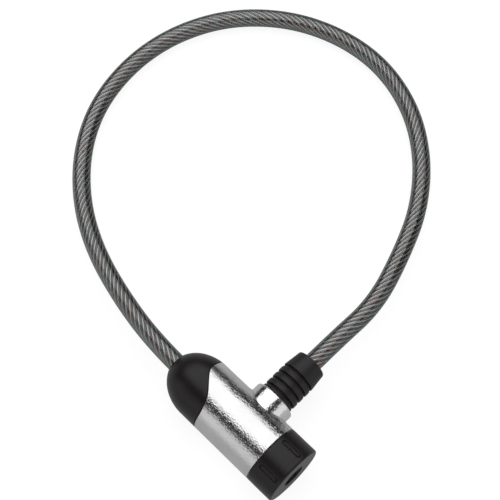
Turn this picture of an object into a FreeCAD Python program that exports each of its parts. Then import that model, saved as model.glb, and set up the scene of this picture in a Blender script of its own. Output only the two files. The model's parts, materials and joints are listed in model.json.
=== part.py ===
import FreeCAD, Part
import Sketcher
import math
import os

# Key cable lock. Millimetres, +Z up, lying on the plane z = 0.
# The barrel of the lock head lies along X with its key face towards +X and its dome towards -X.
# The plug goes into the side of the barrel along -Y. The origin is on the resting plane, straight
# below the point where the barrel's axis and the plug's axis cross.

Vector = FreeCAD.Vector
doc = FreeCAD.newDocument("CableLock")

# ---------------------------------------------------------------- driving dimensions

SIZES = {
    "barrel_od": 33.0,          # lock head, outside
    "head_length": 82.0,        # key face to the nose of the dome
    "key_reach": 33.5,          # plug axis to key face
    "cap_length": 16.0,
    "seam_gap": 0.35,           # open seam at each end of the sleeve
    "fit_gap": 0.1,             # between fixed pieces that slip together
    "run_gap": 0.05,            # radial gap of a shaft in its bore
    "sleeve_wall": 1.2,
    "seam_far": 17.2,           # nose to the sleeve's edge on the socket side
    "seam_near": 29.3,          # the same on the other side
    "seam_start": 10.0,         # where the S of the sleeve's edge leaves the far side
    "seam_slope": 42.0,         # steepest slope of the S, degrees
    "seam_far_radius": 8.0,
    "seam_near_radius": 19.0,
    "dome_length": 19.0,        # nose to where the dome starts to close
    "dome_turn": 30.0,          # turn of the dome's shoulder, degrees
    "dome_shoulder_radius": 24.0,
    "nose_wall": 1.1,           # round the cable at the nose
    "body_front": 17.2,         # plug axis to the front shoulder of the lock body
    "body_rear": 17.0,          # plug axis to its rear shoulder
    "neck_od": 26.0,            # stub of the lock body that carries the cap
    "neck_reach": 27.0,
    "tail_od": 21.0,            # stub of the lock body that holds the cable
    "tail_set_back": 6.5,       # nose to the end of that stub
    "cable_od": 10.0,
    "rope_od": 6.0,
    "ferrule_od": 13.0,
    "anchor_length": 20.0,
    "crimp_length": 11.5,       # rope inside a ferrule
    "anchor_pin_od": 4.0,
    "anchor_pin_inset": 4.2,    # ferrule's inner end to its cross pin
    "collar_od": 23.0,
    "collar_rise": 21.6,        # barrel axis to the collar's face
    "collar_depth": 8.0,        # barrel axis to the collar's seat
    "collar_round": 1.0,
    "plug_od": 9.0,
    "plug_tip": 10.0,           # barrel axis to the tip of the plug pin
    "plug_tip_od": 5.6,
    "plug_nose": 3.5,           # taper of the tip
    "neck_bottom": 1.0,         # groove of the plug pin, from the barrel axis
    "neck_top": 4.1,
    "neck_core_od": 5.5,
    "plug_flange_od": 12.4,
    "plug_flange": 1.3,
    "plug_tail_od": 7.0,
    "plug_tail": 5.5,
    "plug_pin_hole": 2.0,
    "socket_bottom": 11.0,      # barrel axis to the bottom of the socket
    "screw_od": 3.9,
    "screw_hex": 1.8,
    "screw_hex_depth": 2.0,
    "boot_od": 19.0,
    "boot_length": 26.1,
    "boot_edge": 0.5,
    "groove_od": 17.3,
    "groove_width": 0.85,
    "groove_pitch": 4.35,
    "groove_first": 2.9,        # boot's base to the middle of its first groove
    "groove_count": 4,
    "boot_end_od": 17.0,
    "boot_end_round": 1.4,
    "latch_thick": 2.4,
    "latch_side_gap": 0.15,
    "latch_half_width": 7.0,
    "latch_top": 6.5,
    "latch_bottom": 9.2,
    "fork_reach": 3.2,
    "fork_finger": 2.0,
    "cam_throw": 3.0,
    "cam_peg_od": 2.5,
    "cam_thick": 1.2,
    "cam_room": 0.35,           # between the peg's path and the cavity's wall
    "cylinder_od": 22.0,
    "cylinder_reach": 29.3,     # plug axis to the front of the housing
    "rotor_od": 14.0,
    "rotor_boss_od": 12.1,
    "rotor_boss": 1.3,
    "rotor_set_back": 1.3,      # rear of the housing to the rear of the rotor, for the clip
    "rotor_wall": 1.0,          # in front of the discs
    "clip_set_in": 0.5,         # rear of the housing to the clip
    "clip_thick": 0.5,
    "clip_stand": 0.5,          # how far the clip goes into the housing's groove
    "clip_overlap": 1.1,        # how far it stands over the rotor's rear face
    "clip_opening": 3.0,
    "disc_od": 11.0,
    "disc_count": 7,
    "spacer_thick": 0.4,
    "spacer_id": 7.8,
    "disc_gap": 0.005,
    "keyway_width": 2.2,
    "keyway_height": 7.6,
    "sidebar_width": 1.9,
    "sidebar_seat": 4.5,        # rotor axis to the bottom of the discs' notches
    "sidebar_groove": 1.4,      # depth of the housing's groove for it
    "key_hole": 12.4,
    "hole_chamfer": 0.4,
    "cap_round": 1.0,
    "grip_count": 6,
    "grip_phase": 23.0,         # first grip from the top towards the socket, degrees
    "grip_length": 11.4,
    "grip_width": 2.9,
    "grip_bar_width": 1.5,
    "grip_depth": 0.5,
    "retaining_pin_od": 3.0,
    "retaining_pin_reach": 15.0,
    "retaining_pin_floor": 1.5,  # rotor's bore to the bottom of the pin's hole
}

PAST = 1.0          # how far a cut starts and ends outside the material
ARC_SHARE = 0.45    # part of a straight run that each of the cable's arcs takes up

# The cable's route, exit of the dome to mouth of the boot: x, y and height of the centreline.
# The ends stand at the barrel's axis height, and the far side of the loop lies on the plane.
ROUTE = [
    (-42.1, 0, 16.5),
    (-64, 0, 16.5),
    (-95, 5, 15),
    (-126, 14, 12),
    (-154, 29, 8.5),
    (-178, 51, 6),
    (-194, 78, 5),
    (-200, 110, 5),
    (-196, 141, 5),
    (-182, 170, 5),
    (-158, 193, 5),
    (-129, 206, 5),
    (-98, 209, 5),
    (-67, 200, 5),
    (-41, 181, 6),
    (-21, 155, 8.5),
    (-9, 127, 12),
    (1, 95, 15),
    (0, 64, 16.5),
    (0, 42.1, 16.5),
]


class Size:
    """A length: the FreeCAD expression that binds it to the sheet, and its present value."""

    def __init__(self, text, value):
        self.text = text
        self.value = value

    def __add__(self, other):
        other = as_size(other)
        return Size(f"({self.text} + {other.text})", self.value + other.value)

    def __sub__(self, other):
        other = as_size(other)
        return Size(f"({self.text} - {other.text})", self.value - other.value)

    def __mul__(self, other):
        other = as_size(other)
        return Size(f"({self.text} * {other.text})", self.value * other.value)

    def __truediv__(self, other):
        other = as_size(other)
        return Size(f"({self.text} / {other.text})", self.value / other.value)

    def __neg__(self):
        return Size(f"(0 - {self.text})", -self.value)


def as_size(number):
    return number if isinstance(number, Size) else Size(repr(number), number)


def sine(angle):
    return Size(f"sin({angle.text})", math.sin(math.radians(angle.value)))


def cosine(angle):
    return Size(f"cos({angle.text})", math.cos(math.radians(angle.value)))


def root_of(size):
    return Size(f"sqrt({size.text})", math.sqrt(size.value))


sheet = doc.addObject("Spreadsheet::Sheet", "Sizes")
S = {}
for row, (alias, number) in enumerate(SIZES.items(), 1):
    sheet.set(f"A{row}", alias)
    sheet.set(f"B{row}", str(number))
    sheet.setAlias(f"B{row}", alias)
    S[alias] = Size(f"Sizes.{alias}", number)
doc.recompute()

barrel_r = S["barrel_od"] / 2
sleeve_r = barrel_r - S["sleeve_wall"]
core_r = sleeve_r - S["fit_gap"]
cable_r = S["cable_od"] / 2
rope_r = S["rope_od"] / 2
ferrule_r = S["ferrule_od"] / 2
nose_x = S["key_reach"] - S["head_length"]
sleeve_front = S["key_reach"] - S["cap_length"]
plug_r = S["plug_od"] / 2
collar_r = S["collar_od"] / 2
plug_base = S["collar_rise"] + S["fit_gap"]
plug_shoulder = plug_base + S["plug_flange"]
boot_base = plug_base + S["fit_gap"]
boot_top = boot_base + S["boot_length"]
cylinder_rear = collar_r + S["fit_gap"] * 5
rotor_rear = cylinder_rear + S["rotor_set_back"]
rotor_r = S["rotor_od"] / 2
rotor_face = S["cylinder_reach"] + S["fit_gap"]
rotor_shoulder = rotor_face - S["rotor_boss"]
clip_rear = cylinder_rear + S["clip_set_in"]
clip_front = clip_rear + S["clip_thick"]
disc_room_r = S["disc_od"] / 2 + S["fit_gap"]
disc_room_end = S["cylinder_reach"] - S["rotor_boss"] - S["rotor_wall"]
disc_start = rotor_rear + S["cam_thick"] + S["fit_gap"]
disc_pitch = (disc_room_end - disc_start) / S["disc_count"]
disc_thick = disc_pitch - S["spacer_thick"] - S["disc_gap"] * 2
fork_end = cylinder_rear - S["fit_gap"] * 6
fork_root = fork_end - S["fork_reach"]
latch_travel = S["cam_throw"] * root_of(as_size(2))
latch_middle = (S["neck_bottom"] + S["neck_top"]) / 2
latch_low = latch_middle - S["latch_thick"] / 2
latch_high = latch_middle + S["latch_thick"] / 2
dome_start_x = nose_x + S["dome_length"]
tail_x = nose_x + S["tail_set_back"]
anchor_face = tail_x + S["fit_gap"]
anchor_inner = anchor_face + S["anchor_length"]
anchor_pin_x = anchor_inner - S["anchor_pin_inset"]
plug_cross_y = plug_shoulder + S["plug_tail"] / 2 + S["fit_gap"]
plug_ferrule_top = as_size(ROUTE[-1][1]) - S["fit_gap"]

pieces = []


# ---------------------------------------------------------------- sketching helpers

def bind(target, path, size):
    target.setExpression(path, size.text)


def stand_on_plane(piece):
    """Each piece is drawn about the crossing of the two axes, which is half a barrel up."""
    bind(piece, ".Placement.Base.z", barrel_r)


def new_body(label):
    body = doc.addObject("PartDesign::Body", label)
    body.AllowCompound = True
    stand_on_plane(body)
    pieces.append(body)
    return body


def new_sketch(body, label, role, level=None):
    """A sketch on one of the body's origin planes, moved along the plane's normal to level."""
    sketch = body.newObject("Sketcher::SketchObject", f"{body.Name}_{label}")
    plane = [item for item in body.Origin.OriginFeatures if item.Role == role][0]
    sketch.AttachmentSupport = [(plane, "")]
    sketch.MapMode = "FlatFace"
    if level is not None:
        bind(sketch, ".AttachmentOffset.Base.z", level)
    return sketch


def pin_point(sketch, geometry, end, axis, size):
    """Holds one coordinate of a point to a size."""
    if abs(size.value) < 1e-9:
        other_axis = -2 if axis == "X" else -1
        sketch.addConstraint(Sketcher.Constraint("PointOnObject", geometry, end, other_axis))
        return
    constraint = Sketcher.Constraint(f"Distance{axis}", -1, 1, geometry, end, size.value)
    index = sketch.addConstraint(constraint)
    bind(sketch, f"Constraints[{index}]", size)


def draw_circle(sketch, across, up, radius):
    across, up = as_size(across), as_size(up)
    centre = Vector(across.value, up.value, 0)
    circle = sketch.addGeometry(Part.Circle(centre, Vector(0, 0, 1), radius.value), False)
    pin_point(sketch, circle, 3, "X", across)
    pin_point(sketch, circle, 3, "Y", up)
    index = sketch.addConstraint(Sketcher.Constraint("Radius", circle, radius.value))
    bind(sketch, f"Constraints[{index}]", radius)


def arc_between(start, finish, radius, side):
    """The short arc between two points, bulging to the left of the way there if side is 1.

    Returns it running anticlockwise, and whether it then runs from start to finish.
    """
    chord = finish - start
    half = chord.Length / 2
    depth = math.sqrt(max(radius ** 2 - half ** 2, 0))
    left = Vector(-chord.y, chord.x, 0).normalize()
    centre = (start + finish) / 2 - left * (side * depth)
    first, second = (start, finish) if side < 0 else (finish, start)
    begin = math.atan2(first.y - centre.y, first.x - centre.x)
    end = math.atan2(second.y - centre.y, second.x - centre.x)
    if end < begin:
        end += 2 * math.pi
    circle = Part.Circle(centre, Vector(0, 0, 1), radius)
    return Part.ArcOfCircle(circle, begin, end), side < 0


def draw_outline(sketch, corners, arcs=None):
    """A closed outline. arcs gives, for an edge's first corner, its radius and bulging side."""
    arcs = arcs or {}
    corners = [(as_size(across), as_size(up)) for across, up in corners]
    places = [Vector(across.value, up.value, 0) for across, up in corners]
    first_ends, last_ends = [], []
    for index, start in enumerate(places):
        finish = places[(index + 1) % len(places)]
        if index not in arcs:
            edge = sketch.addGeometry(Part.LineSegment(start, finish), False)
            first_ends.append((edge, 1))
            last_ends.append((edge, 2))
            continue
        radius, side = arcs[index]
        arc, forward = arc_between(start, finish, radius.value, side)
        edge = sketch.addGeometry(arc, False)
        first_ends.append((edge, 1 if forward else 2))
        last_ends.append((edge, 2 if forward else 1))
        held = sketch.addConstraint(Sketcher.Constraint("Radius", edge, radius.value))
        bind(sketch, f"Constraints[{held}]", radius)
    for index, (across, up) in enumerate(corners):
        here, before = first_ends[index], last_ends[index - 1]
        sketch.addConstraint(Sketcher.Constraint("Coincident", *before, *here))
        pin_point(sketch, *here, "X", across)
        pin_point(sketch, *here, "Y", up)


def box_corners(left, bottom, right, top):
    return [(left, bottom), (right, bottom), (right, top), (left, top)]


def draw_pill(sketch, middle, up, length, width):
    """A slot outline along the sketch's first axis."""
    half, radius = length / 2 - width / 2, width / 2
    low, high = as_size(up) - radius, as_size(up) + radius
    corners = box_corners(middle - half, low, middle + half, high)
    end_r = radius * 1.0001  # a hair over half the width, so that each end is the short way round
    ends = {1: (end_r, -1), 3: (end_r, -1)}
    draw_outline(sketch, corners, ends)


# ---------------------------------------------------------------- feature helpers

def turn(body, label, axis, profile, arcs=None, cut=False):
    """Turns a profile of (along the axis, radius) corners about X or Y."""
    sketch = new_sketch(body, label, "XY_Plane")
    if axis == "Y":
        profile = [(radius, along) for along, radius in profile]
        arcs = {index: (radius, -side) for index, (radius, side) in (arcs or {}).items()}
    draw_outline(sketch, profile, arcs)
    kind = "PartDesign::Groove" if cut else "PartDesign::Revolution"
    feature = body.newObject(kind, f"{body.Name}_{label}_turned")
    feature.Profile = sketch
    feature.ReferenceAxis = (sketch, ["H_Axis" if axis == "X" else "V_Axis"])
    feature.Angle = 360.0
    return feature


NORMALS = {"XY_Plane": 1, "XZ_Plane": -1, "YZ_Plane": 1}


def prism(body, label, role, draw, low, high, cut=False):
    """Extrudes what draw puts in a sketch between two levels along the plane's own row axis."""
    low, high = as_size(low), as_size(high)
    if NORMALS[role] < 0:
        low, high = -high, -low
    sketch = new_sketch(body, label, role, high if cut else low)
    draw(sketch)
    kind = "PartDesign::Pocket" if cut else "PartDesign::Pad"
    feature = body.newObject(kind, f"{body.Name}_{label}_{'cut' if cut else 'pad'}")
    feature.Profile = sketch
    feature.Type = "Length"
    bind(feature, "Length", high - low)
    return feature


def drill(body, label, role, across, up, radius, low, high):
    return prism(body, label, role, lambda s: draw_circle(s, across, up, radius), low, high, True)


def cylinder(label, radius, length, rise_of_base, along=None, across=None):
    """An upright pin as a Part primitive, at a place along X and Y."""
    pin = doc.addObject("Part::Cylinder", label)
    bind(pin, "Radius", radius)
    bind(pin, "Height", length)
    bind(pin, ".Placement.Base.x", as_size(along or 0))
    bind(pin, ".Placement.Base.y", as_size(across or 0))
    bind(pin, ".Placement.Base.z", barrel_r + rise_of_base)
    pieces.append(pin)
    return pin


# ---------------------------------------------------------------- the seam between sleeve and dome

def seam_line(shift):
    """Corners and arcs of the S that the sleeve's edge makes seen from above, far side first."""
    far, near = shift - nose_x - S["seam_far"], shift - nose_x - S["seam_near"]
    slope = S["seam_slope"]
    far_arc, near_arc = S["seam_far_radius"], S["seam_near_radius"]
    far_rise = far_arc * (as_size(1) - cosine(slope))
    near_rise = near_arc * (as_size(1) - cosine(slope))
    straight = (far - near - far_rise - near_rise) * cosine(slope) / sine(slope)
    far_end = S["seam_start"] - far_arc * sine(slope)
    near_start = far_end - straight
    near_end = near_start - near_arc * sine(slope)
    corners = [
        (-far, S["seam_start"]),
        (-far + far_rise, far_end),
        (-near - near_rise, near_start),
        (-near, near_end),
    ]
    return corners, (far_arc, near_arc)


def seam_region(sketch, shift, beyond):
    """The plan area on one side of the seam, out to the level beyond."""
    corners, (far_arc, near_arc) = seam_line(shift)
    wide = barrel_r + PAST
    outline = [(corners[0][0], wide)] + corners + [(corners[3][0], -wide)]
    outline += [(beyond, -wide), (beyond, wide)]
    # Seen along the S from the far side, the first bend opens to the right and the second to the left.
    arcs = {1: (far_arc, -1), 3: (near_arc, 1)}
    draw_outline(sketch, outline, arcs)


# ---------------------------------------------------------------- lock head: shells

def make_outer_sleeve():
    body = new_body("outer_sleeve")
    rear = nose_x + S["seam_far"] - PAST
    turn(body, "tube", "X", box_corners(rear, sleeve_r, sleeve_front, barrel_r))
    prism(body, "seam", "XY_Plane",
          lambda s: seam_region(s, as_size(0), rear - PAST),
          -barrel_r - PAST, barrel_r + PAST, cut=True)
    opening = collar_r + S["fit_gap"] * 2
    drill(body, "opening", "XZ_Plane", 0, 0, opening, 0, barrel_r + PAST)


def make_nose_dome():
    body = new_body("nose_dome")
    turning = S["dome_turn"]
    shoulder = S["dome_shoulder_radius"]
    exit_r = cable_r + S["fit_gap"]
    nose_r = exit_r + S["nose_wall"]
    bend_x = dome_start_x - shoulder * sine(turning)
    bend_r = barrel_r - shoulder * (as_size(1) - cosine(turning))
    run_x, run_r = bend_x - nose_x, bend_r - nose_r
    chord = run_x * run_x + run_r * run_r
    nose_radius = chord / ((run_r * cosine(turning) - run_x * sine(turning)) * 2)
    hollow = S["tail_od"] / 2 + S["fit_gap"] * 1.5
    hollow_end = tail_x - S["fit_gap"] * 3
    root = -S["body_rear"] - S["fit_gap"] * 2
    corners = [
        (root, hollow), (root, barrel_r), (dome_start_x, barrel_r), (bend_x, bend_r),
        (nose_x, nose_r), (nose_x, exit_r), (hollow_end, exit_r), (hollow_end, hollow),
    ]
    turn(body, "shell", "X", corners, {2: (shoulder, -1), 3: (nose_radius, -1)})
    prism(body, "seam", "XY_Plane",
          lambda s: seam_region(s, S["seam_gap"], root + PAST),
          -barrel_r - PAST, barrel_r + PAST, cut=True)
    spigot = core_r - S["fit_gap"] / 2
    turn(body, "spigot", "X", box_corners(dome_start_x, hollow, root, spigot))


def make_key_end_cap():
    body = new_body("key_end_cap")
    back = sleeve_front + S["seam_gap"]
    face = S["key_reach"]
    cavity = S["neck_od"] / 2 + S["fit_gap"]
    seat = S["cylinder_od"] / 2 + S["fit_gap"]
    step_x = S["neck_reach"] + S["fit_gap"]
    wall_x = S["cylinder_reach"] + S["fit_gap"] * 2
    hole_r = S["key_hole"] / 2
    edge, lip = S["cap_round"], S["hole_chamfer"]
    corners = [
        (back, cavity), (back, barrel_r), (face - edge, barrel_r), (face, barrel_r - edge),
        (face, hole_r + lip), (face - lip, hole_r), (wall_x, hole_r), (wall_x, seat),
        (step_x, seat), (step_x, cavity),
    ]
    turn(body, "shell", "X", corners, {2: (edge, 1)})
    middle = (back + face) / 2

    def grip(sketch):
        draw_pill(sketch, middle, 0, S["grip_length"], S["grip_width"])
        bar_length = S["grip_length"] - S["grip_width"] + S["grip_bar_width"]
        draw_pill(sketch, middle, 0, bar_length, S["grip_bar_width"])

    recess = prism(body, "grip", "XY_Plane", grip,
                   barrel_r - S["grip_depth"], barrel_r + PAST, cut=True)
    pattern = body.newObject("PartDesign::PolarPattern", "key_end_cap_grips")
    pattern.Originals = [recess]
    axis = [item for item in body.Origin.OriginFeatures if item.Role == "X_Axis"][0]
    pattern.Axis = (axis, [""])
    pattern.Angle = 360.0
    bind(pattern, "Occurrences", S["grip_count"])
    body.Tip = pattern
    body.Placement.Rotation = FreeCAD.Rotation(Vector(-1, 0, 0), SIZES["grip_phase"])


def make_socket_collar():
    body = new_body("socket_collar")
    bore = plug_r + S["run_gap"] * 3
    seat, face = S["collar_depth"] + S["fit_gap"], S["collar_rise"]
    edge, lip = S["collar_round"], S["hole_chamfer"]
    corners = [
        (seat, bore), (seat, collar_r), (face - edge, collar_r), (face, collar_r - edge),
        (face, bore + lip), (face - lip, bore),
    ]
    turn(body, "ring", "Y", corners, {2: (edge, 1)})


# ---------------------------------------------------------------- lock head: core and cable anchor

def make_lock_body():
    body = new_body("lock_body")
    tail_r = S["tail_od"] / 2
    rear, front = -S["body_rear"], S["body_front"]
    neck_end, neck_r = S["neck_reach"], S["neck_od"] / 2
    turn(body, "core", "X", [
        (tail_x, 0), (tail_x, tail_r), (rear, tail_r), (rear, core_r),
        (front, core_r), (front, neck_r), (neck_end, neck_r), (neck_end, 0),
    ])
    anchor_end = anchor_inner + S["fit_gap"]
    anchor_r = ferrule_r + S["fit_gap"]
    turn(body, "anchor_bore", "X", box_corners(tail_x - PAST, 0, anchor_end, anchor_r), cut=True)
    cavity_r = S["cam_throw"] + S["cam_peg_od"] / 2 + S["cam_room"]
    cavity_end = fork_root - S["fit_gap"]
    seat_x, seat_r = cylinder_rear - S["fit_gap"], S["cylinder_od"] / 2 + S["fit_gap"]
    turn(body, "cylinder_bore", "X", [
        (cavity_end, 0), (cavity_end, cavity_r), (seat_x, cavity_r),
        (seat_x, seat_r), (neck_end + PAST, seat_r), (neck_end + PAST, 0),
    ], cut=True)
    bore_r = plug_r + S["run_gap"] * 3
    counter_r = collar_r + S["fit_gap"]
    screw_r = S["screw_od"] / 2 + S["run_gap"]
    turn(body, "socket", "Y", [
        (-barrel_r, 0), (-barrel_r, screw_r), (-S["socket_bottom"], screw_r),
        (-S["socket_bottom"], bore_r), (S["collar_depth"], bore_r), (S["collar_depth"], counter_r),
        (barrel_r + PAST, counter_r), (barrel_r + PAST, 0),
    ], cut=True)
    gap, room = S["latch_side_gap"], S["fit_gap"] * 3
    left, right = -S["latch_half_width"] - room, cylinder_rear - S["run_gap"]
    bottom = -S["latch_bottom"] - room
    prism(body, "latch_slot", "XZ_Plane",
          lambda s: draw_outline(s, box_corners(left, bottom, right, barrel_r)),
          latch_low - gap, latch_high + gap, cut=True)
    drill(body, "anchor_pin_hole", "XY_Plane", anchor_pin_x, 0,
          S["anchor_pin_od"] / 2 + S["run_gap"], -barrel_r, barrel_r)
    drill(body, "retaining_pin_hole", "XY_Plane", S["retaining_pin_reach"], 0,
          S["retaining_pin_od"] / 2 + S["run_gap"], 0, barrel_r)


def make_cable_anchor_ferrule():
    body = new_body("cable_anchor_ferrule")
    bore_end = anchor_face + S["crimp_length"]
    bore_r = rope_r + S["run_gap"]
    turn(body, "sleeve", "X", [
        (anchor_face, bore_r), (anchor_face, ferrule_r), (anchor_inner, ferrule_r),
        (anchor_inner, 0), (bore_end, 0), (bore_end, bore_r),
    ])
    drill(body, "pin_hole", "XY_Plane", anchor_pin_x, 0,
          S["anchor_pin_od"] / 2 + S["run_gap"], -barrel_r, barrel_r)


def make_anchor_cross_pin():
    reach = S["tail_od"] / 2 - S["fit_gap"]
    cylinder("anchor_cross_pin", S["anchor_pin_od"] / 2, reach * 2, -reach, anchor_pin_x)


def make_body_set_screw():
    body = new_body("body_set_screw")
    point, head = -core_r + S["fit_gap"] * 3, -S["socket_bottom"] - S["fit_gap"] * 3
    turn(body, "shank", "Y", box_corners(point, 0, head, S["screw_od"] / 2))
    half = S["screw_hex"] / 2
    corner = half / cosine(as_size(30))

    def hexagon(sketch):
        draw_outline(sketch, [
            (corner, 0), (corner / 2, half), (-corner / 2, half),
            (-corner, 0), (-corner / 2, -half), (corner / 2, -half),
        ])

    prism(body, "hex_socket", "XZ_Plane", hexagon, head - S["screw_hex_depth"], head, cut=True)


# ---------------------------------------------------------------- key cylinder

def make_cylinder_housing():
    body = new_body("cylinder_housing")
    rear, front = cylinder_rear, S["cylinder_reach"]
    bore_r = rotor_r + S["run_gap"]
    lip_x = rotor_shoulder + S["fit_gap"]
    lip_r = S["rotor_boss_od"] / 2 + S["run_gap"]
    turn(body, "shell", "X", [
        (rear, bore_r), (rear, S["cylinder_od"] / 2), (front, S["cylinder_od"] / 2),
        (front, lip_r), (lip_x, lip_r), (lip_x, bore_r),
    ])
    groove_r = rotor_r + S["clip_stand"] + S["fit_gap"]
    clip_low, clip_high = clip_rear - S["fit_gap"], clip_front + S["fit_gap"]
    turn(body, "clip_groove", "X", box_corners(clip_low, 0, clip_high, groove_r), cut=True)
    half = S["sidebar_width"] / 2 + S["run_gap"] * 3
    low, high = rotor_rear + S["fit_gap"] * 4, lip_x - S["rotor_wall"]
    prism(body, "sidebar_groove", "XY_Plane",
          lambda s: draw_outline(s, box_corners(low, -half, high, half)),
          -rotor_r - S["sidebar_groove"], -rotor_r + PAST, cut=True)
    drill(body, "pin_hole", "XY_Plane", S["retaining_pin_reach"], 0,
          S["retaining_pin_od"] / 2 + S["run_gap"], rotor_r + S["retaining_pin_floor"], barrel_r)


def make_cylinder_retaining_pin():
    foot = rotor_r + S["retaining_pin_floor"] + S["fit_gap"]
    length = core_r - S["fit_gap"] - foot
    cylinder("cylinder_retaining_pin", S["retaining_pin_od"] / 2, length, foot,
             S["retaining_pin_reach"])


def make_rotor_clip():
    body = new_body("rotor_clip")
    half = S["clip_opening"] / 2

    def ring(sketch):
        draw_circle(sketch, 0, 0, rotor_r + S["clip_stand"])
        draw_circle(sketch, 0, 0, rotor_r - S["clip_overlap"])

    prism(body, "ring", "YZ_Plane", ring, clip_rear, clip_front)
    prism(body, "gap", "YZ_Plane",
          lambda s: draw_outline(s, box_corners(-half, half, half, rotor_r + PAST)),
          clip_rear - PAST, clip_front + PAST, cut=True)


def keyway(sketch):
    """The key's slot, upright and centred on the barrel's axis, in a plane across it."""
    wide, tall = S["keyway_width"] / 2, S["keyway_height"] / 2
    draw_outline(sketch, box_corners(-wide, -tall, wide, tall))


def make_key_rotor():
    body = new_body("key_rotor")
    boss_r = S["rotor_boss_od"] / 2
    turn(body, "barrel", "X", [
        (rotor_rear, disc_room_r), (rotor_rear, rotor_r), (rotor_shoulder, rotor_r),
        (rotor_shoulder, boss_r), (rotor_face, boss_r), (rotor_face, 0),
        (disc_room_end, 0), (disc_room_end, disc_room_r),
    ])
    prism(body, "keyway", "YZ_Plane", keyway, disc_room_end - PAST, rotor_face + PAST, cut=True)
    half = S["sidebar_width"] / 2 + S["fit_gap"]
    low, high = disc_start + S["fit_gap"] * 3, disc_room_end - S["fit_gap"] * 4
    prism(body, "sidebar_slot", "XY_Plane",
          lambda s: draw_outline(s, box_corners(low, -half, high, half)),
          -rotor_r - PAST, -S["sidebar_seat"], cut=True)


def make_drive_cam():
    body = new_body("drive_cam")
    rear = rotor_rear
    turn(body, "flange", "X", box_corners(rear, 0, rear + S["cam_thick"], S["disc_od"] / 2))
    offset = latch_travel / 2
    prism(body, "peg", "YZ_Plane",
          lambda s: draw_circle(s, offset, -offset, S["cam_peg_od"] / 2),
          fork_root + S["fit_gap"] * 3, rear)


def stack(body, disc, count, pitch):
    """Repeats a pad along the barrel, as separate solids."""
    pattern = body.newObject("PartDesign::LinearPattern", f"{body.Name}_row")
    pattern.Originals = [disc]
    axis = [item for item in body.Origin.OriginFeatures if item.Role == "X_Axis"][0]
    pattern.Direction = (axis, [""])
    bind(pattern, "Length", pitch * (count - 1))
    bind(pattern, "Occurrences", count)
    body.Tip = pattern


def disc_sketch(sketch, opening):
    """Rim with the sidebar's notch in its lowest part, drawn as one outline, round an opening."""
    radius = S["disc_od"] / 2
    half = S["sidebar_width"] / 2 + S["fit_gap"]
    drop = root_of(radius * radius - half * half)
    seat = S["sidebar_seat"] - S["fit_gap"] / 2
    corners = [
        (-half, -drop), (-half, -seat), (half, -seat), (half, -drop), (radius, 0), (0, radius),
        (-radius, 0),
    ]
    round_edges = {index: (radius, -1) for index in (3, 4, 5, 6)}
    draw_outline(sketch, corners, round_edges)
    opening(sketch)


def make_tumbler_discs():
    body = new_body("tumbler_discs")
    disc = prism(body, "disc", "YZ_Plane", lambda s: disc_sketch(s, keyway),
                 disc_start, disc_start + disc_thick)
    stack(body, disc, S["disc_count"], disc_pitch)


def make_disc_spacers():
    body = new_body("disc_spacers")
    first = disc_start + disc_thick + S["disc_gap"]
    ring = prism(body, "ring", "YZ_Plane",
                 lambda s: disc_sketch(s, lambda t: draw_circle(t, 0, 0, S["spacer_id"] / 2)),
                 first, first + S["spacer_thick"])
    stack(body, ring, S["disc_count"] - 1, disc_pitch)


def make_sidebar():
    body = new_body("sidebar")
    half = S["sidebar_width"] / 2
    low, high = disc_start + S["fit_gap"] * 5, disc_room_end - S["fit_gap"] * 6
    prism(body, "bar", "XY_Plane",
          lambda s: draw_outline(s, box_corners(low, -half, high, half)),
          -rotor_r + S["fit_gap"], -S["sidebar_seat"] - S["fit_gap"])


# ---------------------------------------------------------------- latch

def make_latch_plate():
    """Released: the round hole is about the plug pin. Raised by the peg, the slot grips its neck."""
    body = new_body("latch_plate")
    peg_z = -latch_travel / 2
    notch = S["cam_peg_od"] / 2 + S["latch_side_gap"]
    finger = S["fork_finger"]
    side, top, bottom = S["latch_half_width"], S["latch_top"], -S["latch_bottom"]
    outline = [
        (-side, bottom), (fork_root, bottom), (fork_root, peg_z - notch - finger),
        (fork_end, peg_z - notch - finger), (fork_end, peg_z - notch), (fork_root, peg_z - notch),
        (fork_root, peg_z + notch), (fork_end, peg_z + notch), (fork_end, peg_z + notch + finger),
        (fork_root, peg_z + notch + finger), (fork_root, top), (-side, top),
    ]
    prism(body, "plate", "XZ_Plane", lambda s: draw_outline(s, outline), latch_low, latch_high)
    pass_r = plug_r + S["fit_gap"] * 2
    grip_r = S["neck_core_od"] / 2 + S["fit_gap"] * 2
    low, high = latch_low - PAST, latch_high + PAST
    drill(body, "pass_hole", "XZ_Plane", 0, 0, pass_r, low, high)
    prism(body, "neck_slot", "XZ_Plane",
          lambda s: draw_outline(s, box_corners(-grip_r, -latch_travel, grip_r, 0)),
          low, high, cut=True)
    drill(body, "neck_slot_end", "XZ_Plane", 0, -latch_travel, grip_r, low, high)


# ---------------------------------------------------------------- plug

def make_plug_pin():
    body = new_body("plug_pin")
    tip, taper = -S["plug_tip"], S["plug_nose"]
    core, tail_r = S["neck_core_od"] / 2, S["plug_tail_od"] / 2
    tail_end = plug_shoulder + S["plug_tail"]
    turn(body, "shaft", "Y", [
        (tip, 0), (tip, S["plug_tip_od"] / 2), (tip + taper, plug_r), (S["neck_bottom"], plug_r),
        (S["neck_bottom"], core), (S["neck_top"], core), (S["neck_top"], plug_r),
        (plug_base, plug_r), (plug_base, S["plug_flange_od"] / 2),
        (plug_shoulder, S["plug_flange_od"] / 2), (plug_shoulder, tail_r), (tail_end, tail_r),
        (tail_end, 0),
    ])
    drill(body, "cross_hole", "XY_Plane", 0, plug_cross_y,
          S["plug_pin_hole"] / 2 + S["run_gap"], -barrel_r, barrel_r)


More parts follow.
